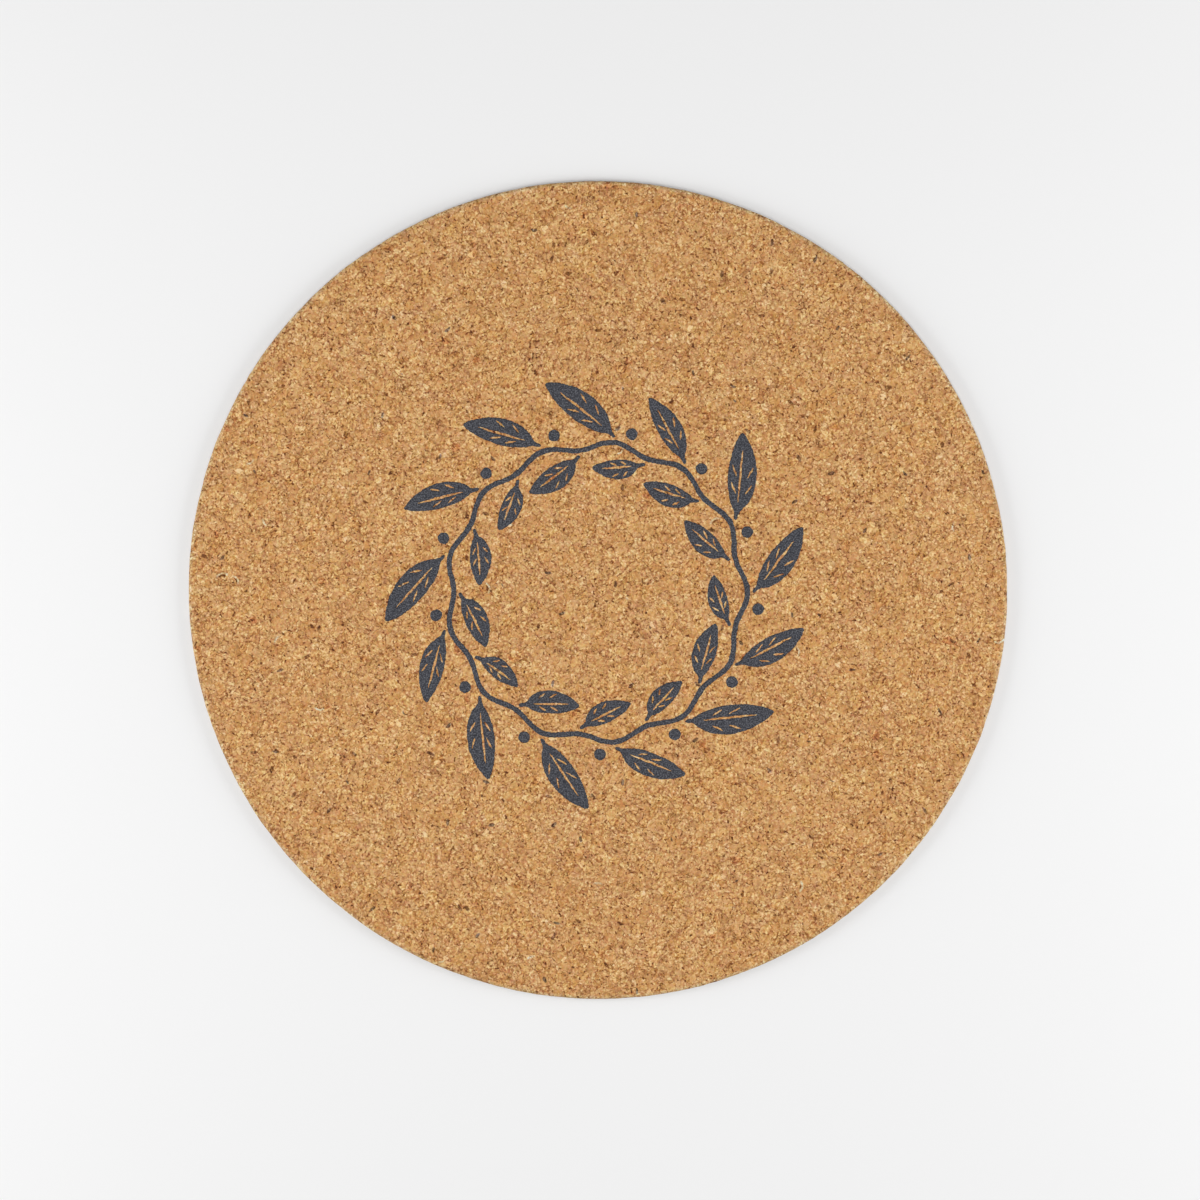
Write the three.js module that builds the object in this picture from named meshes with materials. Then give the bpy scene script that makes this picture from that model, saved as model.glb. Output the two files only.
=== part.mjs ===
// A round cork placemat: one disc die-cut from a sheet of pressed cork granules, its edges
// sanded round, with a wreath of leaves and berries printed on its top in dark slate ink.
// Millimetres, +Z up. The disc's axis is the Z axis and its underside lies on Z = 0.
// +Y is the side that faces away from the person who sits at the mat.
import * as THREE from 'three';

// Cork disc
const discDiameter = 290;
const discThickness = 4;
const topEdgeRadius = 1.2;
const bottomEdgeRadius = 0.8;
const largestEdgeShare = 0.45; // of the thickness, so that a thin sheet keeps an upright wall

// Ink film, and the bare cork that is kept between two islands of ink
const inkThickness = 0.1;
const inkGap = 0.9;

// Stem: a ring that swings out towards each outer leaf and in towards each inner one
const stemRadius = 52;
const stemWidth = 1.9;
const stemSwing = 1.5;

// Leaves, in pairs along the stem
const leafPitch = 25; // from one pair to the next, along the stem
const outerLeafLength = 27;
const outerLeafWidth = 9.4;
const innerLeafLength = 18;
const innerLeafWidth = 7.6;
const leafTilt = 36; // degrees between a leaf and the stem's direction
const tipLean = 2.2; // how far a leaf's tip curves back towards the stem
const petioleLength = 2.6;
const petioleWidth = 1.3;
const marginHandles = [0.2, 0.7]; // shares of the blade's length, where its margins swell most
const sizeVariation = 0.1; // a hand-cut block has no two leaves alike
const tiltVariation = 5; // degrees

// Strokes of the gouge that leave the veins of a leaf unprinted
const midribWidth = 0.9;
const midribSpan = [0.06, 0.84]; // shares of the blade's length
const sideVeinWidth = 0.7;
const sideVeinStarts = [0.24, 0.44]; // shares of the blade's length, on both sides of the midrib
const sideVeinRun = 0.17; // share of the blade's length that a side vein runs forward
const sideVeinSpan = [0.36, 0.8]; // shares of the way from the midrib to the margin

// Berries, one beside the foot of each outer leaf
const berryRadius = 2.1;
const berrySpacing = 5.2; // behind the foot of its leaf, along the stem

// Facets
const discFacets = 120;
const edgeFacets = 4;
const swingFacets = 10; // in each swing of the stem
const marginFacets = 9; // along each side of a leaf
const gougeFacets = 3; // along each side of a gouge stroke
const berryFacets = 14;

// What follows from the sizes above
const discRadius = discDiameter / 2;
const leafPairs = Math.round(2 * Math.PI * stemRadius / leafPitch);
const pairAngle = 2 * Math.PI / leafPairs;
const footClearance = stemSwing + stemWidth / 2 + inkGap; // from the stem's centre line to a leaf's foot
const goldenAngle = Math.PI * (3 - Math.sqrt(5)); // spreads the variation without a visible rhythm
const cubicReach = 3 / 4; // how far a cubic curve gets towards the height of its two handles

const corkMaterial = new THREE.MeshStandardMaterial({ color: 0xc49360, roughness: 0.8, metalness: 0 });
corkMaterial.name = 'cork';
const inkMaterial = new THREE.MeshStandardMaterial({ color: 0x4e4f54, roughness: 0.7, metalness: 0 });
inkMaterial.name = 'ink';

function numbered(stem, index) {
  return `${stem}_${String(index + 1).padStart(2, '0')}`;
}

function between(a, b, share) {
  return a.clone().lerp(b, share);
}

// A quarter round of the disc's rim, as points of its section
function roundedEdge(radius, height, startAngle) {
  const centre = discRadius - radius;
  const arc = new THREE.EllipseCurve(centre, height, radius, radius, startAngle, startAngle + Math.PI / 2);
  return arc.getPoints(edgeFacets);
}

// The disc: half of its section, turned about the axis. The ring of points inside the wreath
// bounds the bare middle of the top, where a plate stands.
function corkDisc() {
  const topEdge = Math.min(topEdgeRadius, discThickness * largestEdgeShare);
  const bottomEdge = Math.min(bottomEdgeRadius, discThickness * largestEdgeShare);
  const leafReach = (petioleLength + innerLeafLength) * Math.sin(THREE.MathUtils.degToRad(leafTilt));
  const bareMiddle = (stemRadius - footClearance - leafReach) / 2;
  const section = [
    new THREE.Vector2(0, 0),
    ...roundedEdge(bottomEdge, bottomEdge, -Math.PI / 2),
    ...roundedEdge(topEdge, discThickness - topEdge, 0),
    new THREE.Vector2(bareMiddle, discThickness),
    new THREE.Vector2(0, discThickness),
  ];
  const geometry = new THREE.LatheGeometry(section, discFacets);
  geometry.rotateX(Math.PI / 2);
  const disc = new THREE.Mesh(geometry, corkMaterial);
  disc.name = 'cork_disc';
  return disc;
}

// An island of ink: a flat outline, one film thick, lying on the top of the disc
function inkIsland(name, shape) {
  const geometry = new THREE.ExtrudeGeometry(shape, { depth: inkThickness, bevelEnabled: false });
  const island = new THREE.Mesh(geometry, inkMaterial);
  island.name = name;
  island.position.z = discThickness;
  return island;
}

// One side of the stem's ring, offset from its centre line
function stemSide(offset) {
  const count = leafPairs * swingFacets;
  return Array.from({ length: count }, (_, i) => {
    const angle = 2 * Math.PI * i / count;
    const radius = stemRadius + stemSwing * Math.cos(leafPairs * angle) + offset;
    return new THREE.Vector2(radius * Math.cos(angle), radius * Math.sin(angle));
  });
}

function printedStem() {
  const shape = new THREE.Shape(stemSide(stemWidth / 2));
  shape.holes.push(new THREE.Path(stemSide(-stemWidth / 2)));
  return inkIsland('printed_stem', shape);
}

// A stroke of the gouge: a sliver with two pointed ends, widest halfway
function gougeStroke(from, to, width) {
  const side = to.clone().sub(from).normalize().rotateAround(new THREE.Vector2(), Math.PI / 2);
  const middle = between(from, to, 0.5);
  const flank = (start, end, sign) => new THREE.QuadraticBezierCurve(
    start,
    middle.clone().addScaledVector(side, sign * width),
    end,
  ).getPoints(gougeFacets).slice(0, -1);
  return new THREE.Path([...flank(from, to, 1), ...flank(to, from, -1)]);
}

// A leaf with its foot at the origin, lying along +X: a straight petiole, a blade between
// two curved margins, and the midrib and side veins left unprinted. lean moves the tip to
// the leaf's left, or to its right where it is negative.
function leafShape(bladeLength, bladeWidth, lean) {
  const bladeStart = petioleLength;
  const tip = new THREE.Vector2(bladeStart + bladeLength, lean);
  const along = (share, height) => new THREE.Vector2(bladeStart + bladeLength * share, height);
  const bulge = bladeWidth / 2 / cubicReach;
  const margin = (sign) => new THREE.CubicBezierCurve(
    new THREE.Vector2(bladeStart, sign * petioleWidth / 2),
    along(marginHandles[0], sign * bulge - lean / 2),
    along(marginHandles[1], sign * bulge),
    tip,
  );
  const midrib = new THREE.QuadraticBezierCurve(along(0, 0), along(0.5, -lean / 2), tip);
  const upper = margin(1);
  const lower = margin(-1);
  const shape = new THREE.Shape([
    new THREE.Vector2(0, petioleWidth / 2),
    new THREE.Vector2(0, -petioleWidth / 2),
    ...lower.getPoints(marginFacets),
    ...upper.getPoints(marginFacets).reverse().slice(1),
  ]);
  const [midribStart, midribEnd] = midribSpan.map((share) => midrib.getPoint(share));
  shape.holes.push(gougeStroke(midribStart, midribEnd, midribWidth));
  for (const side of [upper, lower]) {
    for (const start of sideVeinStarts) {
      const end = start + sideVeinRun;
      const from = between(midrib.getPoint(start), side.getPoint(start), sideVeinSpan[0]);
      const to = between(midrib.getPoint(end), side.getPoint(end), sideVeinSpan[1]);
      shape.holes.push(gougeStroke(from, to, sideVeinWidth));
    }
  }
  return shape;
}

// Leaves on one side of the stem. outward is 1 outside the ring and -1 inside it, and phase
// is the share of a pitch by which the leaves are shifted along the stem.
function printedLeaves(name, bladeLength, bladeWidth, outward, phase) {
  return Array.from({ length: leafPairs }, (_, i) => {
    const angle = (i + phase) * pairAngle;
    const sway = Math.sin(goldenAngle * i + phase);
    const size = 1 + sizeVariation * sway;
    const tilt = THREE.MathUtils.degToRad(leafTilt + tiltVariation * Math.cos(goldenAngle * i * 2));
    const shape = leafShape(bladeLength * size, bladeWidth * size, outward * tipLean);
    const leaf = inkIsland(numbered(name, i), shape);
    const footRadius = stemRadius + outward * footClearance;
    leaf.position.x = footRadius * Math.cos(angle);
    leaf.position.y = footRadius * Math.sin(angle);
    leaf.rotation.z = angle + Math.PI / 2 - outward * tilt;
    return leaf;
  });
}

function printedBerries() {
  const radius = stemRadius + footClearance + berryRadius;
  const circle = new THREE.EllipseCurve(0, 0, berryRadius, berryRadius).getPoints(berryFacets).slice(0, -1);
  return Array.from({ length: leafPairs }, (_, i) => {
    const berry = inkIsland(numbered('printed_berry', i), new THREE.Shape(circle));
    const angle = i * pairAngle - berrySpacing / stemRadius;
    berry.position.x = radius * Math.cos(angle);
    berry.position.y = radius * Math.sin(angle);
    return berry;
  });
}

const placemat = new THREE.Group();
placemat.add(corkDisc());
placemat.add(printedStem());
placemat.add(...printedLeaves('printed_outer_leaf', outerLeafLength, outerLeafWidth, 1, 0));
placemat.add(...printedLeaves('printed_inner_leaf', innerLeafLength, innerLeafWidth, -1, 0.5));
placemat.add(...printedBerries());

export default placemat;
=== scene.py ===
import math
import random

import bmesh
import bpy
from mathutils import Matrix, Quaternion, Vector, kdtree, noise
from mathutils.geometry import delaunay_2d_cdt


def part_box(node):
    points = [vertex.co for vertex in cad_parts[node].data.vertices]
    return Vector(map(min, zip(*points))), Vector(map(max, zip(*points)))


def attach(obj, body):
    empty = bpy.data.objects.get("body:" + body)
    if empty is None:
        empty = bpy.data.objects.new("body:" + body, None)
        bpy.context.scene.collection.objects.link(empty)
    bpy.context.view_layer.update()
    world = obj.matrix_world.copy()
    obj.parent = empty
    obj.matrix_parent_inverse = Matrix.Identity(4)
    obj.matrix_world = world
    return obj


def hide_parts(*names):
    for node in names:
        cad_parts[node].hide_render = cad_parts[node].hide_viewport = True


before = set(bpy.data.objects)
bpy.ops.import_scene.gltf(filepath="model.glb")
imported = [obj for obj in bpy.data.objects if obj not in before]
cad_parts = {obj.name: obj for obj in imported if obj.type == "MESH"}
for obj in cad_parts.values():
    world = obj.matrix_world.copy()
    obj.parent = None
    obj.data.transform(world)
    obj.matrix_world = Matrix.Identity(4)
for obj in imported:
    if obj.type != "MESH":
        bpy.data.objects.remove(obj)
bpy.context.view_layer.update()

mm = 0.001
scene = bpy.context.scene
scene.view_settings.view_transform = "Standard"
print("frame loaded,", len(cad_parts), "nodes")


# Helpers for node trees, materials and pieces

def feed(tree, socket, value):
    if isinstance(value, bpy.types.NodeSocket):
        tree.links.new(value, socket)
    else:
        socket.default_value = value


def maths(tree, operation, *values):
    node = tree.nodes.new("ShaderNodeMath")
    node.operation = operation
    for socket, value in zip(node.inputs, values):
        feed(tree, socket, value)
    return node.outputs[0]


def times(tree, first, second):
    return maths(tree, "MULTIPLY", first, second)


def centred(tree, share):  # from 0 and 1 to -0.5 and 0.5
    return maths(tree, "SUBTRACT", share, 0.5)


def summed(tree, start, layers):
    total = start
    for layer, weight in layers:
        total = maths(tree, "MULTIPLY_ADD", layer, weight, total)
    return total


def vectors(tree, operation, first, second=(0.0, 0.0, 0.0)):
    node = tree.nodes.new("ShaderNodeVectorMath")
    node.operation = operation
    feed(tree, node.inputs[0], first)
    feed(tree, node.inputs["Scale" if operation == "SCALE" else 1], second)
    return node.outputs["Value" if operation in ("DOT_PRODUCT", "LENGTH") else "Vector"]


def flattened(tree, position):  # without its height
    return vectors(tree, "MULTIPLY", position, (1.0, 1.0, 0.0))


def ramped(tree, value, low, high, start=0.0, end=1.0):  # smooth step from low to high
    node = tree.nodes.new("ShaderNodeMapRange")
    node.interpolation_type = "SMOOTHSTEP"
    settings = {"Value": value, "From Min": low, "From Max": high, "To Min": start, "To Max": end}
    for name, number in settings.items():
        feed(tree, node.inputs[name], number)
    return node.outputs["Result"]


def fading(tree, value, low, high):  # 1 up to low, 0 from high on
    return ramped(tree, value, low, high, 1.0, 0.0)


def mixed(tree, share, first, second):
    node = tree.nodes.new("ShaderNodeMix")
    for place, value in ((0, share), (2, first), (3, second)):
        feed(tree, node.inputs[place], value)
    return node.outputs[0]


def mixedColour(tree, share, first, second, blend="MIX"):
    node = tree.nodes.new("ShaderNodeMix")
    node.data_type = "RGBA"
    node.blend_type = blend
    node.clamp_factor = False
    for place, value in ((0, share), (6, first), (7, second)):
        feed(tree, node.inputs[place], value)
    return node.outputs[2]


def cells(tree, place, size, feature="F1"):
    node = tree.nodes.new("ShaderNodeTexVoronoi")
    node.feature = feature
    feed(tree, node.inputs["Vector"], place)
    node.inputs["Scale"].default_value = 1 / size
    return node


def clouds(tree, place, size, detail=1.0, roughness=0.5):
    node = tree.nodes.new("ShaderNodeTexNoise")
    feed(tree, node.inputs["Vector"], place)
    node.inputs["Scale"].default_value = 1 / size
    node.inputs["Detail"].default_value = detail
    node.inputs["Roughness"].default_value = roughness
    return node


def channels(tree, colour):
    node = tree.nodes.new("ShaderNodeSeparateXYZ")
    feed(tree, node.inputs[0], colour)
    return node.outputs


def turnedBy(tree, place, angle):
    node = tree.nodes.new("ShaderNodeVectorRotate")
    node.rotation_type = "Z_AXIS"
    feed(tree, node.inputs["Vector"], place)
    feed(tree, node.inputs["Angle"], angle)
    return node.outputs[0]


def screenColour(red, green, blue):  # from 0 to 255 as a screen shows it, by the curve of sRGB
    def linear(level):
        share = level / 255
        return share / 12.92 if share <= 0.04045 else ((share + 0.055) / 1.055) ** 2.4
    return (linear(red), linear(green), linear(blue), 1.0)


def colourRamp(tree, value, stops):
    node = tree.nodes.new("ShaderNodeValToRGB")
    elements = node.color_ramp.elements
    while len(elements) < len(stops):
        elements.new(1.0)
    for element, (position, colour) in zip(elements, stops):
        element.position = position
        element.color = screenColour(*colour)
    feed(tree, node.inputs[0], value)
    return node.outputs[0]


def newMaterial(name):
    material = bpy.data.materials.new(name)
    material.use_nodes = True
    tree = material.node_tree
    return material, tree, tree.nodes["Principled BSDF"]


def setInputs(modifier, tree, values):
    for item in tree.interface.items_tree:
        if item.item_type == "SOCKET" and item.in_out == "INPUT" and item.name in values:
            modifier[item.identifier] = values[item.name]


def newTree(name, inputs):
    tree = bpy.data.node_groups.new(name, "GeometryNodeTree")
    tree.interface.new_socket("Geometry", in_out="INPUT", socket_type="NodeSocketGeometry")
    for label, kind in inputs.items():
        tree.interface.new_socket(label, in_out="INPUT", socket_type="NodeSocket" + kind)
    tree.interface.new_socket("Geometry", in_out="OUTPUT", socket_type="NodeSocketGeometry")
    return tree, tree.nodes.new("NodeGroupInput").outputs, tree.nodes.new("NodeGroupOutput").inputs


def finished(tree, geometry, material):  # the last nodes of each tree
    smooth = tree.nodes.new("GeometryNodeSetShadeSmooth")
    feed(tree, smooth.inputs["Geometry"], geometry)
    realize = tree.nodes.new("GeometryNodeRealizeInstances")
    feed(tree, realize.inputs["Geometry"], smooth.outputs[0])
    coat = tree.nodes.new("GeometryNodeSetMaterial")
    feed(tree, coat.inputs["Geometry"], realize.outputs[0])
    feed(tree, coat.inputs["Material"], material)
    return coat.outputs[0]


def grown(piece, tree, values):  # runs a tree on a piece and keeps the result as a plain mesh
    modifier = piece.modifiers.new(tree.name, "NODES")
    modifier.node_group = tree
    setInputs(modifier, tree, values)
    evaluated = piece.evaluated_get(bpy.context.evaluated_depsgraph_get())
    mesh = bpy.data.meshes.new_from_object(evaluated)
    piece.modifiers.remove(modifier)
    mesh.name = piece.name
    piece.data = mesh
    return piece


def newPiece(name, points, faces):
    mesh = bpy.data.meshes.new(name)
    mesh.from_pydata(points, [], faces)
    mesh.update()
    piece = bpy.data.objects.new(name, mesh)
    scene.collection.objects.link(piece)
    return piece


# The cork sheet's sizes, the first four of them read off its node

def flatRadius(node, height):
    tolerance = 0.01 * mm
    corners = [vertex.co for vertex in node.data.vertices if abs(vertex.co.z - height) < tolerance]
    return max(math.hypot(corner.x, corner.y) for corner in corners)


discLow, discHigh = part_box("cork_disc")
corkDisc = {
    "radius": (discHigh.x - discLow.x) / 2,
    "thickness": discHigh.z - discLow.z,
    "flatTop": flatRadius(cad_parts["cork_disc"], discHigh.z),
    "flatUnderside": flatRadius(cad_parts["cork_disc"], discLow.z),
    "topStep": 1.0 * mm,         # between the points of the mesh
    "undersideStep": 1.7 * mm,
    "ringGrowth": 6,             # points that a ring has more than the ring inside it
    "edgeRows": 5,               # round each edge
    "wallRows": 2,               # between the edges
    "jitter": 0.22,              # share of a step, by which points are shaken out of their rings
    "seed": 7,
    "relief": 0.06 * mm,         # where the pattern's height is 1
    "wobble": 0.75 * mm,         # of the cut edge
    "wobbleNoise": (14.0, 4.0, 0.7),  # size in mm, detail and roughness
    "nick": 0.16 * mm,           # where a granule has broken out
    "nickApart": 8.0,            # mm
    "nickShare": 0.4,            # of the places that hold one
    "nickFade": (0.08, 0.22),    # shares of the way to the next place
    "edgeFade": 1.0 * mm,        # how far inside the flat underside the wobble starts
    "mapShare": 0.92,            # of the map's width that the round faces take
    "mapFacing": 0.6,            # upward part of a normal, from which a face counts as round
    "mapMargin": (0.01, 0.003),  # left and bottom, shares of the map's width as the gap is
    "strips": 4,                 # that the edge is cut into
    "stripGap": 0.001,
    "stripSpare": 1.0 * mm,      # above and below the edge
    "undersideRim": 0.35 * mm,   # how far up its rounded edge the underside's pattern reaches
}
discMiddle = discLow.z + corkDisc["thickness"] / 2
wallTop = discHigh.z - (corkDisc["radius"] - corkDisc["flatTop"])
wallBottom = discLow.z + (corkDisc["radius"] - corkDisc["flatUnderside"])

# Pressed cork: one pattern, in millimetres, gives the mesh its relief and the materials their colours

corkGrain = {
    "granule": 3.4,              # mm, sizes of the cells and of the noise
    "grit": 1.7,
    "crumb": 0.54,
    "streak": 1.1,
    "bark": 1.15,
    "patch": 11.0,
    "dust": 0.3,
    "detail": 2.0,               # of the noise
    "fineRoughness": 0.6,        # of the noise in streaks and dust
    "bend": 1.3,                 # mm, how far noise pulls the granules out of shape
    "bendShare": 0.6,            # of a granule's size, for that noise
    "stretch": 1.18,             # of the crumbs and streaks, along their granule
    "seamWidth": 0.07,           # shares of a granule's size, from its edge inward
    "wholeEdge": (0.03, 0.16),
    "rustyEdge": (0.10, 0.22),
    "rustyShare": (0.012, 0.022),     # of the granules, where the kind begins to fade and where it ends
    "crumbledShare": (0.60, 0.66),
    "barkLevel": (0.29, 0.37),   # of the noise, below which it shows
    "barkHighlightLevel": (0.23, 0.31),
    "barkShift": (53.0, 29.0, 0.0),   # mm, so that the painted highlight lies beside the bark, on the same side each time
    "barkHighlightShift": (53.0, 29.6, 0.0),
    "barkGathering": 0.1,        # how far bark keeps to its patches
    "tone": 0.625,               # middle of the tone scale
    "crumbTone": 0.77,           # how far each layer moves the tone
    "streakTone": 1.03,
    "dustTone": 0.22,
    "wholeShare": 0.5,           # of those three, inside a whole granule
    "granuleTone": 0.10,
    "gritTone": 0.15,
    "patchTone": 0.02,
    "seamTone": 0.12,
    "barkTone": 0.42,
    "barkHighlightTone": 0.20,
    "flakeTone": 0.28,
    "chipTone": 0.38,
    "curlTone": 0.22,
    "rustyTone": 0.14,
    "fineHeight": 1.2,           # how far each layer raises the surface
    "granuleHeight": 0.8,
    "seamHeight": -0.5,
    "barkHeight": -0.9,
    "flakeHeight": 0.3,
    "hue": 0.5,                  # halfway between the tints
    "crumbWarmth": -0.34,        # how far each layer moves the hue towards the warm tint
    "granuleWarmth": 0.30,
    "rustyWarmth": 0.25,
    "curlWarmth": -1.0,
    "crumbRedness": 0.56,        # and towards the red one
    "gritRedness": 0.27,
    "granuleRedness": -0.05,
    "rustyRedness": 0.45,
    "curlRedness": -0.5,
    "spreadTone": (0.1, 0.85),   # tones between which hues draw together, and how far they spread there
    "spread": (2.1, 0.95),
}

# Marks that lie scattered in the cork: mm apart, share of the places that hold one, smallest and largest
# size in mm, how much it is drawn out, and a shift that keeps each kind's places its own. Fades are in mm.
corkMarks = {
    "flake": {
        "apart": 5.0,
        "share": 0.31,
        "sizes": (0.6, 1.75),
        "drawnOut": (0.8, 1.25, 1.0),
        "shift": (31.0, 17.0, 0.0),
        "fade": (0.0, 0.2),
        "greySize": (0.80, 0.90),     # up to which it is grey
        "greyShare": 0.5,
    },
    "chip": {
        "apart": 5.0,
        "share": 0.25,
        "sizes": (0.5, 1.2),
        "drawnOut": (0.6, 1.3, 1.0),
        "shift": (7.0, 83.0, 0.0),
        "fade": (-0.1, 0.15),
        "greySize": (0.74, 0.82),
    },
    "curl": {
        "apart": 22.0,
        "share": 0.30,
        "sizes": (1.0, 1.6),
        "drawnOut": (0.7, 1.0, 0.35),
        "shift": (0.0, 0.0, 0.0),
        "fade": (0.15, 0.35),
        "endFade": (0.0, 0.45),       # sine of the angle at which a curl ends
        "hollowShadeInset": 0.5,           # mm, how far inside the curl the painted shade lies
        "hollowShadeFade": (0.10, 0.25),
    },
}


# The way from the middle of the nearest mark, the mark's size, and whether it is there
def scattered(tree, place, mark):
    shifted = vectors(tree, "ADD", place, mark["shift"])
    marks = cells(tree, shifted, mark["apart"])
    shares = channels(tree, marks.outputs["Color"])
    away = vectors(tree, "SUBTRACT", shifted, marks.outputs["Position"])
    away = turnedBy(tree, away, times(tree, shares[0], 2 * math.pi))
    away = vectors(tree, "MULTIPLY", away, mark["drawnOut"])
    smallest, largest = mark["sizes"]
    size = maths(tree, "MULTIPLY_ADD", shares[2], largest - smallest, smallest)
    return away, size, maths(tree, "LESS_THAN", shares[1], mark["share"])


def corkPattern(tree, place):
    grain = corkGrain
    wander = clouds(tree, place, grain["granule"] * grain["bendShare"], grain["detail"]).outputs["Color"]
    pull = vectors(tree, "SCALE", vectors(tree, "SUBTRACT", wander, (0.5, 0.5, 0.5)), grain["bend"])
    bent = vectors(tree, "ADD", place, pull)
    granules = channels(tree, cells(tree, bent, grain["granule"]).outputs["Color"])
    granuleEdge = cells(tree, bent, grain["granule"], "DISTANCE_TO_EDGE").outputs["Distance"]
    granule = centred(tree, granules[0])
    seam = fading(tree, granuleEdge, 0.0, grain["seamWidth"])
    grits = channels(tree, cells(tree, bent, grain["grit"]).outputs["Color"])
    grit = centred(tree, grits[0])
    patch = centred(tree, clouds(tree, place, grain["patch"], grain["detail"]).outputs["Fac"])

    # Crumbs and streaks run along their granule, and each granule lies its own way
    turned = turnedBy(tree, place, times(tree, granules[2], 2 * math.pi))
    drawn = vectors(tree, "MULTIPLY", turned, (1 / grain["stretch"], 1.0, 1.0))
    crumbColour = cells(tree, drawn, grain["crumb"]).outputs["Color"]
    crumbs = channels(tree, crumbColour)
    crumb = centred(tree, vectors(tree, "DOT_PRODUCT", crumbColour, (1 / 3, 1 / 3, 1 / 3)))
    fineNoise = (grain["detail"], grain["fineRoughness"])
    streak = centred(tree, clouds(tree, drawn, grain["streak"], *fineNoise).outputs["Fac"])
    dust = centred(tree, clouds(tree, place, grain["dust"], *fineNoise).outputs["Fac"])

    # Pale flakes with a fine dark outline, the smallest of them greyish
    mark = corkMarks["flake"]
    away, size, shown = scattered(tree, vectors(tree, "ADD", bent, pull), mark)
    near = maths(tree, "SUBTRACT", size, vectors(tree, "LENGTH", away))
    flake = times(tree, ramped(tree, near, *mark["fade"]), shown)
    outline = times(tree, fading(tree, maths(tree, "ABSOLUTE", near), *mark["fade"]), shown)
    greyFlake = times(tree, flake, fading(tree, size, *mark["greySize"]))

    # Over a third of the granules and every flake are whole, a few granules are rusty,
    # and the rest is pressed crumbs
    inside = ramped(tree, granuleEdge, *grain["wholeEdge"])
    core = ramped(tree, granuleEdge, *grain["rustyEdge"])
    rusty = times(tree, fading(tree, granules[1], *grain["rustyShare"]), core)
    whole = times(tree, ramped(tree, granules[1], *grain["crumbledShare"]), inside)
    whole = maths(tree, "MAXIMUM", whole, flake)
    fine = times(tree, crumb, grain["crumbTone"])
    fine = summed(tree, fine, ((streak, grain["streakTone"]), (dust, grain["dustTone"])))
    fine = times(tree, fine, mixed(tree, whole, 1.0, grain["wholeShare"]))

    # Short strokes of dark bark lie in loose clusters, some with a painted highlight along one side, the
    # same side each time
    barkPlace = vectors(tree, "ADD", drawn, grain["barkShift"])
    barkHighlightPlace = vectors(tree, "ADD", drawn, grain["barkHighlightShift"])
    barkField = clouds(tree, barkPlace, grain["bark"]).outputs["Fac"]
    barkField = summed(tree, barkField, ((patch, -grain["barkGathering"]),))
    bark = fading(tree, barkField, *grain["barkLevel"])
    # painted highlight: the bark's own noise, shifted a little, paints a pale edge beside it
    barkHighlight = fading(tree, clouds(tree, barkHighlightPlace, grain["bark"]).outputs["Fac"], *grain["barkHighlightLevel"])

    # Now and then a curl of grey skin is seen end on, with painted shade in the hollow inside it
    mark = corkMarks["curl"]
    away, size, shown = scattered(tree, place, mark)
    reach = vectors(tree, "LENGTH", away)
    half = ramped(tree, maths(tree, "DIVIDE", channels(tree, away)[1], reach), *mark["endFade"])
    shown = times(tree, shown, half)
    across = maths(tree, "SUBTRACT", reach, size)
    curl = times(tree, fading(tree, maths(tree, "ABSOLUTE", across), *mark["fade"]), shown)
    inset = maths(tree, "ABSOLUTE", maths(tree, "ADD", across, mark["hollowShadeInset"]))
    curlHollowShade = times(tree, fading(tree, inset, *mark["hollowShadeFade"]), shown)

    # Dark flat chips, longer than they are wide, the smallest of them grey
    mark = corkMarks["chip"]
    away, size, shown = scattered(tree, bent, mark)
    near = maths(tree, "SUBTRACT", size, vectors(tree, "LENGTH", away))
    chip = times(tree, ramped(tree, near, *mark["fade"]), shown)
    greyChip = times(tree, chip, fading(tree, size, *mark["greySize"]))
    ash = summed(tree, greyChip, ((greyFlake, corkMarks["flake"]["greyShare"]),))

    tone = summed(tree, maths(tree, "ADD", fine, grain["tone"]), (
        (granule, grain["granuleTone"]),
        (grit, grain["gritTone"]),
        (patch, grain["patchTone"]),
        (seam, -grain["seamTone"]),
        (flake, grain["flakeTone"]),
        (outline, -grain["seamTone"]),
        # painted highlight beside the bark
        (barkHighlight, grain["barkHighlightTone"]),
        (bark, -grain["barkTone"]),
        (chip, -grain["chipTone"]),
        (curl, grain["curlTone"]),
        # painted shade in the curl's hollow
        (curlHollowShade, -grain["barkTone"]),
        (rusty, -grain["rustyTone"]),
    ))

    # Whole granules stand highest, and seams and bark lie lowest
    height = summed(tree, times(tree, fine, grain["fineHeight"]), (
        (granule, grain["granuleHeight"]),
        (seam, grain["seamHeight"]),
        (bark, grain["barkHeight"]),
        (flake, grain["flakeHeight"]),
    ))

    # A crumb's hue comes from differences between its shares, which say nothing of its tone,
    # and dark crumbs differ most in hue
    bluer = maths(tree, "SUBTRACT", crumbs[1], crumbs[0])
    otherShares = times(tree, maths(tree, "ADD", crumbs[0], crumbs[1]), 0.5)
    redder = maths(tree, "SUBTRACT", crumbs[2], otherShares)
    spread = ramped(tree, tone, *grain["spreadTone"], *grain["spread"])
    warmth = summed(tree, 0.0, (
        (bluer, grain["crumbWarmth"]),
        (centred(tree, granules[2]), grain["granuleWarmth"]),
    ))
    warmth = summed(tree, grain["hue"], (
        (warmth, spread),
        (rusty, grain["rustyWarmth"]),
        (curl, grain["curlWarmth"]),
    ))
    redness = summed(tree, 0.0, (
        (redder, grain["crumbRedness"]),
        (centred(tree, grits[1]), grain["gritRedness"]),
        (granule, grain["granuleRedness"]),
    ))
    redness = summed(tree, grain["hue"], (
        (redness, spread),
        (rusty, grain["rustyRedness"]),
        (curl, grain["curlRedness"]),
    ))
    return {"Tone": tone, "Warmth": warmth, "Redness": redness, "Ash": ash, "Height": height}


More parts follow.
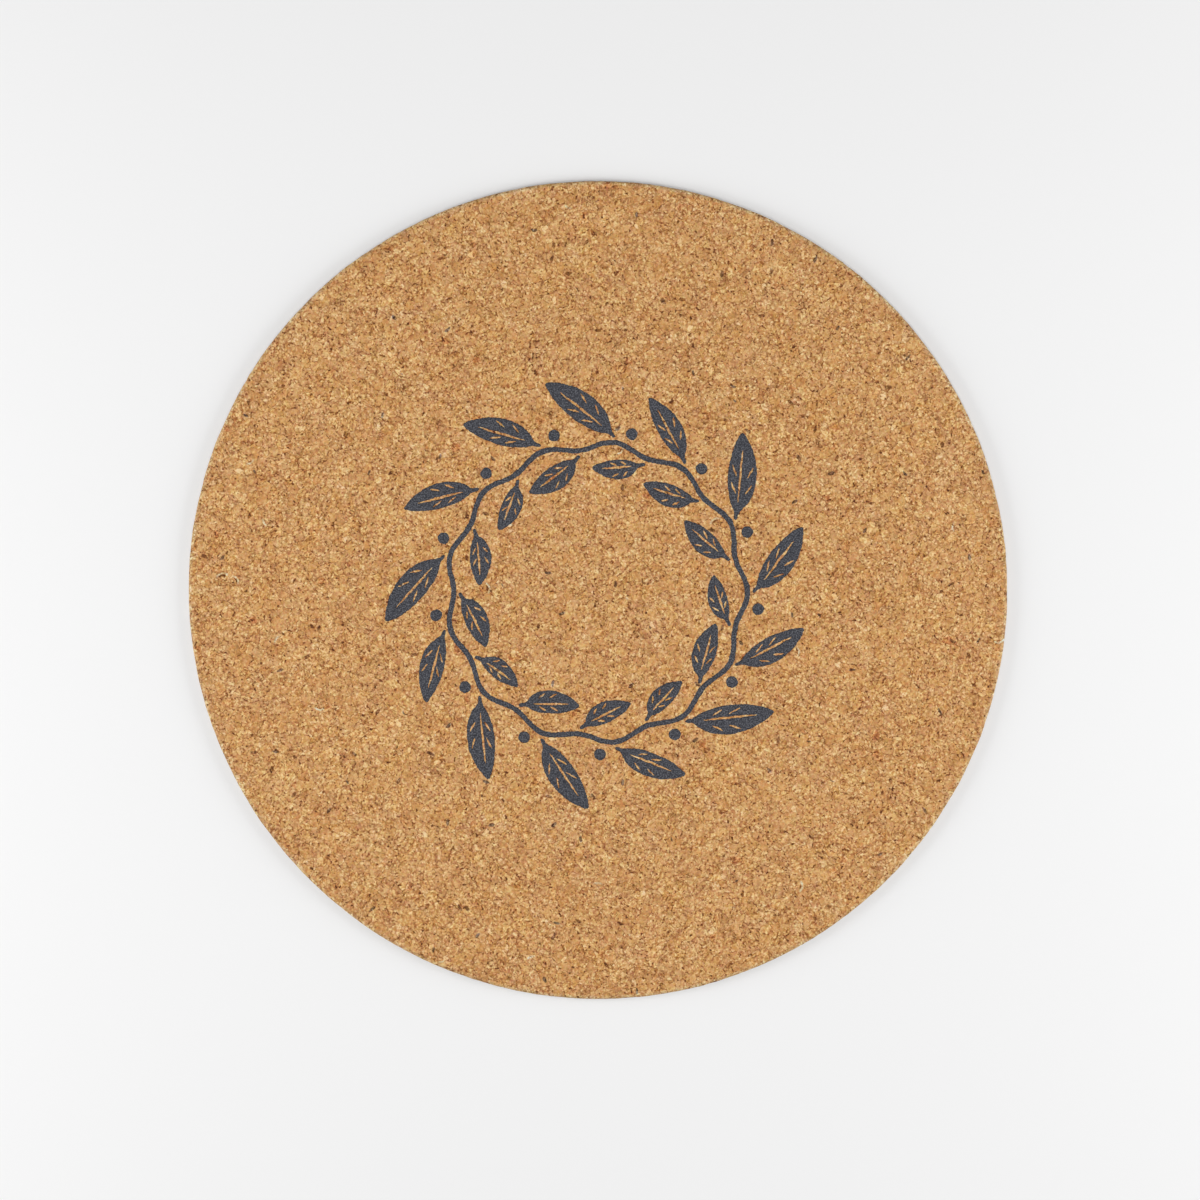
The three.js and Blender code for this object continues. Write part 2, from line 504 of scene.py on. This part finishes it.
def millimetrePlace(tree, position):  # the underside repeats the top, as both lie on one place of the map
    scaled = vectors(tree, "SCALE", vectors(tree, "SUBTRACT", position, (0.0, 0.0, discMiddle)), 1 / mm)
    along, aside, up = channels(tree, scaled)
    underside = maths(tree, "LESS_THAN", up, (corkDisc["undersideRim"] - corkDisc["thickness"] / 2) / mm)
    up = mixed(tree, underside, up, maths(tree, "ABSOLUTE", up))
    joined = tree.nodes.new("ShaderNodeCombineXYZ")
    for socket, value in zip(joined.inputs, (along, aside, up)):
        feed(tree, socket, value)
    return joined.outputs[0]


def corkGrainGroup():
    tree = bpy.data.node_groups.new("corkGrain", "ShaderNodeTree")
    tree.interface.new_socket("Position", in_out="INPUT", socket_type="NodeSocketVector")
    given = tree.nodes.new("NodeGroupInput").outputs["Position"]
    pattern = corkPattern(tree, millimetrePlace(tree, given))
    for name in pattern:
        tree.interface.new_socket(name, in_out="OUTPUT", socket_type="NodeSocketFloat")
    result = tree.nodes.new("NodeGroupOutput")
    for name, value in pattern.items():
        feed(tree, result.inputs[name], value)
    return tree


grainGroup = corkGrainGroup()
print("cork grain group made")


def placedGrain(tree):
    position = tree.nodes.new("ShaderNodeTexCoord").outputs["Object"]
    node = tree.nodes.new("ShaderNodeGroup")
    node.node_tree = grainGroup
    feed(tree, node.inputs["Position"], position)
    return position, node.outputs


def bumped(tree, height, depth, strength):
    node = tree.nodes.new("ShaderNodeBump")
    node.inputs["Strength"].default_value = strength
    node.inputs["Distance"].default_value = depth
    feed(tree, node.inputs["Height"], height)
    return node.outputs["Normal"]


corkFinish = {
    "tones": [                   # from bark to the palest granules
        (0.00, (83, 42, 13)),
        (0.29, (143, 91, 44)),
        (0.62, (200, 147, 90)),
        (0.89, (228, 189, 130)),
        (1.00, (237, 205, 153)),
    ],
    "coolTint": (0.945, 1.0, 1.25, 1.0),
    "warmTint": (1.055, 1.0, 0.73, 1.0),
    "greenTint": (0.97, 1.06, 0.95, 1.0),
    "redTint": (1.055, 0.93, 1.0, 1.0),
    "ashTint": (0.66, 0.97, 1.9, 1.0),
    "roughness": (0.80, 0.62),   # dark granules, pale ones
    "roughnessTone": (0.2, 0.9),
    "specular": 0.3,
    "bumpDepth": 0.05 * mm,
    "bumpStrength": 0.6,
    "edgeShadeTint": (0.965, 0.955, 0.955, 1.0),  # painted shade: the cork grows darker towards the edge, as the light falls off there
    "edgeShadeWidth": 13.0 * mm,
    "rimHighlightTint": (0.985, 1.18, 1.46, 1.0),        # painted highlight: the rounded top edge made paler and less yellow, as where it catches the light
    "rimHighlightWidth": 1.7 * mm,
    "rimHighlightFull": 0.5 * mm,                        # from the edge inward, where the tint is full
    "wallTint": (0.76, 0.82, 0.93, 1.0),        # of the cut wall below it
    "wallFade": 0.7 * mm,
    "bounceColour": (150, 150, 150),            # of the light that the cork throws on the floor
    "bounceShare": 0.6,                         # how far that light takes this colour
}


def corkMaterial():
    finish = corkFinish
    material, tree, shader = newMaterial("cork")
    position, grain = placedGrain(tree)
    colour = colourRamp(tree, grain["Tone"], finish["tones"])
    tint = mixedColour(tree, grain["Warmth"], finish["coolTint"], finish["warmTint"])
    colour = mixedColour(tree, 1.0, colour, tint, "MULTIPLY")
    tint = mixedColour(tree, grain["Redness"], finish["greenTint"], finish["redTint"])
    colour = mixedColour(tree, 1.0, colour, tint, "MULTIPLY")
    colour = mixedColour(tree, grain["Ash"], colour, finish["ashTint"], "MULTIPLY")

    # Painted shade in a band towards the edge, a painted highlight on the rounded top edge, and the cut wall
    across = vectors(tree, "LENGTH", flattened(tree, position))
    rimHighlightStart = corkDisc["radius"] - finish["rimHighlightWidth"]
    # painted shade, darker towards the edge
    edgeShade = ramped(tree, across, corkDisc["radius"] - finish["edgeShadeWidth"], rimHighlightStart)
    colour = mixedColour(tree, edgeShade, colour, finish["edgeShadeTint"], "MULTIPLY")
    # painted highlight on the rounded top edge, fading into the cut wall's tint below it
    rim = ramped(tree, across, rimHighlightStart, corkDisc["radius"] - finish["rimHighlightFull"])
    below = fading(tree, channels(tree, position)[2], wallTop - finish["wallFade"], wallTop)
    highlightAndWallTint = mixedColour(tree, below, finish["rimHighlightTint"], finish["wallTint"])
    colour = mixedColour(tree, rim, colour, highlightAndWallTint, "MULTIPLY")

    bounced = tree.nodes.new("ShaderNodeLightPath").outputs["Is Diffuse Ray"]
    bounced = times(tree, bounced, finish["bounceShare"])
    colour = mixedColour(tree, bounced, colour, screenColour(*finish["bounceColour"]))
    feed(tree, shader.inputs["Base Color"], colour)
    roughness = ramped(tree, grain["Tone"], *finish["roughnessTone"], *finish["roughness"])
    feed(tree, shader.inputs["Roughness"], roughness)
    normal = bumped(tree, grain["Height"], finish["bumpDepth"], finish["bumpStrength"])
    feed(tree, shader.inputs["Normal"], normal)
    shader.inputs["Specular IOR Level"].default_value = finish["specular"]
    return material


inkFinish = {
    "tones": [                   # from a thick layer to a thin one
        (0.0, (42, 43, 49)),
        (0.5, (66, 67, 73)),
        (1.0, (103, 104, 110)),
    ],
    "tone": 0.5,                 # middle of that scale
    "mesh": (0.5, 2.0, 0.7),     # size in mm, detail and roughness of the mottling that the screen leaves
    "meshTone": 3.5,
    "grainTone": 0.25,           # how far the cork under the ink shows in its tone
    "roughness": (0.82, 0.66),   # thick ink, thin ink
    "roughnessTone": (0.2, 0.9),
    "specular": 0.2,
    "bumpDepth": 0.04 * mm,
    "bumpStrength": 0.5,
}


def inkMaterial():
    finish = inkFinish
    material, tree, shader = newMaterial("ink")
    position, grain = placedGrain(tree)
    mottling = centred(tree, clouds(tree, millimetrePlace(tree, position), *finish["mesh"]).outputs["Fac"])
    under = maths(tree, "SUBTRACT", grain["Tone"], corkGrain["tone"])
    tone = summed(tree, finish["tone"], ((mottling, finish["meshTone"]), (under, finish["grainTone"])))
    feed(tree, shader.inputs["Base Color"], colourRamp(tree, tone, finish["tones"]))
    roughness = ramped(tree, tone, *finish["roughnessTone"], *finish["roughness"])
    feed(tree, shader.inputs["Roughness"], roughness)
    normal = bumped(tree, grain["Height"], finish["bumpDepth"], finish["bumpStrength"])
    feed(tree, shader.inputs["Normal"], normal)
    shader.inputs["Specular IOR Level"].default_value = finish["specular"]
    return material


cork = corkMaterial()
ink = inkMaterial()
print("materials made")


# The cork sheet: rings of points about the axis, from the middle of the underside out, up and back in

def ringCounts():  # rings on the underside, rings on the top, and points in each row of the edge
    underRings = round(corkDisc["flatUnderside"] / corkDisc["undersideStep"])
    topRings = round(corkDisc["flatTop"] / corkDisc["topStep"])
    return underRings, topRings, corkDisc["ringGrowth"] * topRings


def discRows():  # radius, height and count of the points in each ring
    disc = corkDisc
    bottomEdge = disc["radius"] - disc["flatUnderside"]
    topEdge = disc["radius"] - disc["flatTop"]
    underRings, topRings, columns = ringCounts()
    rows = [(0.0, discLow.z, 1)]
    for ring in range(1, underRings + 1):
        rows.append((disc["flatUnderside"] * ring / underRings, discLow.z, disc["ringGrowth"] * ring))
    for row in range(1, disc["edgeRows"] + 1):
        angle = math.pi / 2 * (row / disc["edgeRows"] - 1)
        reach = disc["flatUnderside"] + bottomEdge * math.cos(angle)
        rows.append((reach, discLow.z + bottomEdge * (1 + math.sin(angle)), columns))
    wallHeight = disc["thickness"] - bottomEdge - topEdge
    for row in range(1, disc["wallRows"]):
        rows.append((disc["radius"], wallBottom + wallHeight * row / disc["wallRows"], columns))
    for row in range(disc["edgeRows"]):
        angle = math.pi / 2 * row / disc["edgeRows"]
        reach = disc["flatTop"] + topEdge * math.cos(angle)
        rows.append((reach, discHigh.z - topEdge * (1 - math.sin(angle)), columns))
    for ring in range(topRings, 0, -1):
        rows.append((disc["flatTop"] * ring / topRings, discHigh.z, disc["ringGrowth"] * ring))
    rows.append((0.0, discHigh.z, 1))
    return rows


def zipped(lower, upper):  # triangles between two rings of points
    faces = []
    i = len(lower) if len(lower) == 1 else 0
    j = len(upper) if len(upper) == 1 else 0
    while i < len(lower) or j < len(upper):
        lowerNext = (i + 1) / len(lower)
        upperNext = (j + 1) / len(upper)
        here, there = lower[i % len(lower)], upper[j % len(upper)]
        if j == len(upper) or (i < len(lower) and lowerNext <= upperNext):
            i += 1
            faces.append((here, lower[i % len(lower)], there))
        else:
            j += 1
            faces.append((here, upper[j % len(upper)], there))
    return faces


def discPiece():
    disc = corkDisc
    columns = ringCounts()[2]
    shake = random.Random(disc["seed"])
    points, faces, rings = [], [], []
    for reach, height, count in discRows():
        flat = height in (discLow.z, discHigh.z) and 1 < count < columns
        step = disc["topStep"] if height == discHigh.z else disc["undersideStep"]
        give = disc["jitter"] * step if flat and reach < disc["flatUnderside"] - step else 0.0
        rings.append(list(range(len(points), len(points) + count)))
        for place in range(count):
            angle = 2 * math.pi * place / count
            shift = Vector((shake.uniform(-give, give), shake.uniform(-give, give), 0.0))
            points.append(Vector((reach * math.cos(angle), reach * math.sin(angle), height)) + shift)
    for lower, upper in zip(rings, rings[1:]):
        faces += zipped(lower, upper)
    return newPiece("cork_sheet", points, faces)


def mapDisc(piece):  # both round faces lie on one place of the map, and the edge in strips below them
    disc = corkDisc
    perMetre = disc["mapShare"] / (2 * disc["radius"])
    arc = 2 * math.pi / disc["strips"]
    stripHeight = (disc["thickness"] + 2 * disc["stripSpare"]) * perMetre
    left, bottom = disc["mapMargin"]
    centre = Vector((0.5, 1 - disc["mapShare"] / 2))
    coordinates = piece.data.uv_layers.new(name="OFBake")
    for face in piece.data.polygons:
        middle = face.center
        turn = math.atan2(middle.y, middle.x) % (2 * math.pi)
        strip = int(turn // arc)
        stripFoot = bottom + strip * (stripHeight + disc["stripGap"])
        for corner, index in zip(face.loop_indices, face.vertices):
            point = piece.data.vertices[index].co
            if abs(face.normal.z) > disc["mapFacing"]:
                place = centre + point.xy * perMetre
            else:
                angle = math.atan2(point.y, point.x)
                angle += 2 * math.pi * round((turn - angle) / (2 * math.pi))
                inward = disc["radius"] - math.hypot(point.x, point.y)
                climb = point.z + math.copysign(inward, point.z - disc["thickness"] / 2) + disc["stripSpare"]
                along = (angle - strip * arc) * disc["radius"]
                place = Vector((left + along * perMetre, stripFoot + climb * perMetre))
            coordinates.data[corner].uv = place


def corkReliefTree():
    disc = corkDisc
    sizes = {"Relief": "Float", "Wobble": "Float", "Nick": "Float", "Material": "Material"}
    tree, given, result = newTree("corkRelief", sizes)
    position = tree.nodes.new("GeometryNodeInputPosition").outputs[0]
    normal = tree.nodes.new("GeometryNodeInputNormal").outputs[0]
    place = millimetrePlace(tree, position)
    height = corkPattern(tree, place)["Height"]
    sunken = maths(tree, "MINIMUM", height, 0.0)
    underside = maths(tree, "LESS_THAN", channels(tree, position)[2], wallBottom)
    height = mixed(tree, underside, height, sunken)  # nothing stands out below the underside
    relief = vectors(tree, "SCALE", normal, times(tree, height, given["Relief"]))

    # The cut edge wanders a little, and a granule has broken out here and there
    flatPlace = flattened(tree, position)
    edgeStart = disc["flatUnderside"] - disc["edgeFade"]
    rim = ramped(tree, vectors(tree, "LENGTH", flatPlace), edgeStart, disc["radius"])
    wander = centred(tree, clouds(tree, place, *disc["wobbleNoise"]).outputs["Fac"])
    broken = cells(tree, place, disc["nickApart"])
    gone = maths(tree, "LESS_THAN", channels(tree, broken.outputs["Color"])[1], disc["nickShare"])
    nick = times(tree, fading(tree, broken.outputs["Distance"], *disc["nickFade"]), gone)
    edge = times(tree, wander, given["Wobble"])
    edge = maths(tree, "SUBTRACT", edge, times(tree, nick, given["Nick"]))
    outward = vectors(tree, "NORMALIZE", flatPlace)
    edge = vectors(tree, "SCALE", outward, times(tree, edge, rim))
    moved = tree.nodes.new("GeometryNodeSetPosition")
    feed(tree, moved.inputs["Geometry"], given["Geometry"])
    feed(tree, moved.inputs["Offset"], vectors(tree, "ADD", relief, edge))
    feed(tree, result[0], finished(tree, moved.outputs[0], given["Material"]))
    return tree


corkSheet = discPiece()
mapDisc(corkSheet)
grown(corkSheet, corkReliefTree(), {
    "Relief": corkDisc["relief"],
    "Wobble": corkDisc["wobble"],
    "Nick": corkDisc["nick"],
    "Material": cork,
})
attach(corkSheet, "root")
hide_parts("cork_disc")
print("cork sheet made,", len(corkSheet.data.polygons), "faces")


# The print: each island of ink is a thin film that follows the grain under it

inkFilm = {
    "film": 0.05 * mm,           # above the cork
    "soak": 0.06 * mm,           # into the cork
    "edgeStep": 0.25,            # mm, along an outline
    "fewestPoints": 8,           # in an outline
    "innerStep": 0.8,            # mm, between the points inside it
    "innerClearance": 0.5,       # share of that step, between those points and the outline
    "cornerPasses": 2,           # how often corners are cut, as ink rounds them
    "cornerCut": 0.25,           # share of a side that a cut takes
    "straying": [                # mm, length of a wave in an edge, and how far it carries the edge
        (3.0, 0.22),
        (0.7, 0.20),
    ],
    "seed": 11,
    "drop": 5.0 * mm,            # above the sheet, from where the film is let down on it
    "weld": 0.002 * mm,          # points of a node that are this close are one
    "filmWeld": 0.001 * mm,
}


def signedArea(loop):
    return sum(here.cross(there) for here, there in zip(loop, loop[1:] + loop[:1])) / 2


def loopArea(loop):
    return abs(signedArea(loop))


def outlines(node):  # closed outlines of a node's top face, in millimetres, the outer one first
    shape = bmesh.new()
    shape.from_mesh(node.data)
    bmesh.ops.remove_doubles(shape, verts=shape.verts, dist=inkFilm["weld"])
    lower = [face for face in shape.faces if face.normal.z < 0.5]  # walls and underside
    bmesh.ops.delete(shape, geom=lower, context="FACES")
    shape.edges.index_update()
    loops, seen = [], set()
    for first in shape.edges:
        if first.index in seen or not first.is_boundary:
            continue
        loop, edge, corner = [], first, first.verts[0]
        while edge is not None:
            seen.add(edge.index)
            loop.append(corner.co.xy / mm)
            corner = edge.other_vert(corner)
            onward = [e for e in corner.link_edges if e.is_boundary and e.index not in seen]
            edge = onward[0] if onward else None
        loops.append(loop)
    shape.free()
    return sorted(loops, key=loopArea, reverse=True)


def cutCorners(loop):
    cut = inkFilm["cornerCut"]
    for _ in range(inkFilm["cornerPasses"]):
        pairs = zip(loop, loop[1:] + loop[:1])
        cuts = [(here.lerp(there, cut), here.lerp(there, 1 - cut)) for here, there in pairs]
        loop = [point for pair in cuts for point in pair]
    return loop


def evenly(loop, step):
    spans = [(here, there, (there - here).length) for here, there in zip(loop, loop[1:] + loop[:1])]
    total = sum(length for _, _, length in spans)
    count = max(inkFilm["fewestPoints"], round(total / step))
    points, travelled, target = [], 0.0, 0.0
    for here, there, length in spans:
        while len(points) < count and target <= travelled + length:
            points.append(here.lerp(there, (target - travelled) / length if length else 0.0))
            target += total / count
        travelled += length
    return points


def strayed(point):
    place = point.to_3d()
    for length, reach in inkFilm["straying"]:
        place += noise.noise_vector(point.to_3d() / length) * reach
    return place.xy


def innerPoints(edges, step):  # a lattice of points inside the box of an outline, clear of its edges
    tree = kdtree.KDTree(len(edges))
    for index, point in enumerate(edges):
        tree.insert(point.to_3d(), index)
    tree.balance()
    left, right = min(p.x for p in edges), max(p.x for p in edges)
    bottom, top = min(p.y for p in edges), max(p.y for p in edges)
    rise = step * math.sqrt(3) / 2
    clearance = step * inkFilm["innerClearance"]
    points = []
    for row in range(int((top - bottom) / rise) + 1):
        for column in range(int((right - left) / step) + 1):
            point = Vector((left + (column + row % 2 / 2) * step, bottom + row * rise))
            if tree.find(point.to_3d())[2] > clearance:
                points.append(point)
    return points


def inkPiece(name, node):
    film = inkFilm
    tolerance = 1e-5  # mm
    loops = [cutCorners(loop) for loop in outlines(node)]
    loops = [[strayed(point) for point in evenly(loop, film["edgeStep"])] for loop in loops]
    loops = [loop if signedArea(loop) > 0 else loop[::-1] for loop in loops]
    points, borders = [], []
    for loop in loops:
        borders.append(list(range(len(points), len(points) + len(loop))))
        points += loop
    points += innerPoints(points, film["innerStep"])
    flat, _, triangles, _, _, sources = delaunay_2d_cdt(points, [], borders, 0, tolerance, True)
    inside = [list(face) for face, source in zip(triangles, sources) if list(source) == [0]]
    used = sorted({index for face in inside for index in face})
    renumbered = {index: place for place, index in enumerate(used)}
    corners = [(flat[index].x * mm, flat[index].y * mm, discHigh.z) for index in used]
    return newPiece(name, corners, [[renumbered[index] for index in face] for face in inside])


def inkDrapeTree():
    sizes = {"Cork": "Object", "Film": "Float", "Soak": "Float", "Material": "Material"}
    tree, given, result = newTree("inkDrape", sizes)
    down = (0.0, 0.0, -1.0)
    sheet = tree.nodes.new("GeometryNodeObjectInfo")
    feed(tree, sheet.inputs["Object"], given["Cork"])
    position = tree.nodes.new("GeometryNodeInputPosition").outputs[0]
    drop = tree.nodes.new("GeometryNodeRaycast")
    feed(tree, drop.inputs["Target Geometry"], sheet.outputs["Geometry"])
    feed(tree, drop.inputs["Source Position"], vectors(tree, "ADD", position, (0.0, 0.0, inkFilm["drop"])))
    drop.inputs["Ray Direction"].default_value = down
    drop.inputs["Ray Length"].default_value = 2 * inkFilm["drop"]
    soaked = vectors(tree, "SCALE", down, given["Soak"])
    laid = tree.nodes.new("GeometryNodeSetPosition")
    feed(tree, laid.inputs["Geometry"], given["Geometry"])
    feed(tree, laid.inputs["Position"], vectors(tree, "ADD", drop.outputs["Hit Position"], soaked))
    raised = tree.nodes.new("GeometryNodeExtrudeMesh")
    raised.inputs["Individual"].default_value = False
    feed(tree, raised.inputs["Mesh"], laid.outputs[0])
    raised.inputs["Offset"].default_value = (0.0, 0.0, 1.0)
    feed(tree, raised.inputs["Offset Scale"], maths(tree, "ADD", given["Film"], given["Soak"]))
    turned = tree.nodes.new("GeometryNodeFlipFaces")
    feed(tree, turned.inputs["Mesh"], laid.outputs[0])
    joined = tree.nodes.new("GeometryNodeJoinGeometry")
    feed(tree, joined.inputs[0], turned.outputs[0])
    feed(tree, joined.inputs[0], raised.outputs["Mesh"])
    closed = tree.nodes.new("GeometryNodeMergeByDistance")
    feed(tree, closed.inputs["Geometry"], joined.outputs[0])
    closed.inputs["Distance"].default_value = inkFilm["filmWeld"]
    feed(tree, result[0], finished(tree, closed.outputs[0], given["Material"]))
    return tree


noise.seed_set(inkFilm["seed"])  # else the noise starts from the clock
drapeTree = inkDrapeTree()
drapeInputs = {"Cork": corkSheet, "Film": inkFilm["film"], "Soak": inkFilm["soak"], "Material": ink}
inkFaces = 0
for nodeName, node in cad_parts.items():
    if not nodeName.startswith("printed_"):
        continue
    islandOfInk = grown(inkPiece(nodeName.replace("printed_", "ink_"), node), drapeTree, drapeInputs)
    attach(islandOfInk, "root")
    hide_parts(nodeName)
    inkFaces += len(islandOfInk.data.polygons)
print("ink laid,", inkFaces, "faces")


# Stage: a pale floor, two softboxes at the sides, one overhead, and an even sky

stage = {
    "floorSize": 8.0,            # m
    "floorColour": (242, 242, 242),
    "floorRoughness": 0.9,
    "floorSpecular": 0.1,
    "floorDrop": 0.05 * mm,      # below the underside
    "sky": 0.29,                 # strength
    "softboxes": [               # place (m), width and height (m), power (W)
        ((-0.86, -0.07, 0.41), (0.47, 0.75), 4.9),
        ((0.86, -0.07, 0.41), (0.47, 0.75), 4.7),
        ((0.0, -0.21, 2.30), (0.46, 1.07), 16.9),
    ],
}


def floorPiece():
    half = stage["floorSize"] / 2
    low = discLow.z - stage["floorDrop"]
    corners = [(-half, -half, low), (half, -half, low), (half, half, low), (-half, half, low)]
    floor = newPiece("floor", corners, [(0, 1, 2, 3)])
    material, _, shader = newMaterial("floor")
    shader.inputs["Base Color"].default_value = screenColour(*stage["floorColour"])
    shader.inputs["Roughness"].default_value = stage["floorRoughness"]
    shader.inputs["Specular IOR Level"].default_value = stage["floorSpecular"]
    floor.data.materials.append(material)


def softbox(place, size, power):
    lamp = bpy.data.lights.new("softbox", "AREA")
    lamp.shape = "RECTANGLE"
    lamp.size, lamp.size_y = size
    lamp.energy = power
    holder = bpy.data.objects.new("softbox", lamp)
    holder.location = place
    holder.rotation_euler = (-Vector(place)).to_track_quat("-Z", "Y").to_euler()
    scene.collection.objects.link(holder)


def sky():
    world = bpy.data.worlds.new("sky")
    world.use_nodes = True
    background = world.node_tree.nodes["Background"]
    background.inputs["Color"].default_value = (1.0, 1.0, 1.0, 1.0)
    background.inputs["Strength"].default_value = stage["sky"]
    scene.world = world


floorPiece()
for place, size, power in stage["softboxes"]:
    softbox(place, size, power)
sky()

# Camera: above the sheet, with its outline where the photograph has it

photo = {
    "width": 1200,               # px
    "discCentre": (598.0, 589.9),
    "discRadius": 409.4,         # along the longer axis of the outline
    "distance": 1.3,             # m, from the floor
    "lean": math.radians(3.7),   # from upright, which makes the outline a little oval
    "leanTowards": math.radians(60.0),
    "sensor": 36.0,              # mm
}


def cameraAbove():
    metresPerPixel = corkDisc["radius"] / photo["discRadius"]
    reach = photo["distance"] - wallTop  # from the widest line of the sheet
    camera = bpy.data.cameras.new("camera")
    camera.sensor_width = photo["sensor"]
    camera.lens = photo["sensor"] * reach / (photo["width"] * metresPerPixel)
    holder = bpy.data.objects.new("camera", camera)
    right = photo["width"] / 2 - photo["discCentre"][0]
    down = photo["width"] / 2 - photo["discCentre"][1]
    upward = Vector((0.0, 0.0, 1.0))
    towards = Vector((math.cos(photo["leanTowards"]), math.sin(photo["leanTowards"]), 0.0))
    turn = Quaternion(upward.cross(towards), photo["lean"])
    aim = Vector((right * metresPerPixel, -down * metresPerPixel, wallTop))
    # The half that the camera leans over is seen larger, which moves the outline's middle towards it
    aim += towards * corkDisc["radius"] ** 2 * math.sin(photo["lean"]) / reach
    holder.location = aim + turn @ (upward * reach)
    holder.rotation_euler = turn.to_euler()
    scene.collection.objects.link(holder)
    scene.camera = holder


cameraAbove()
print("stage and camera set")
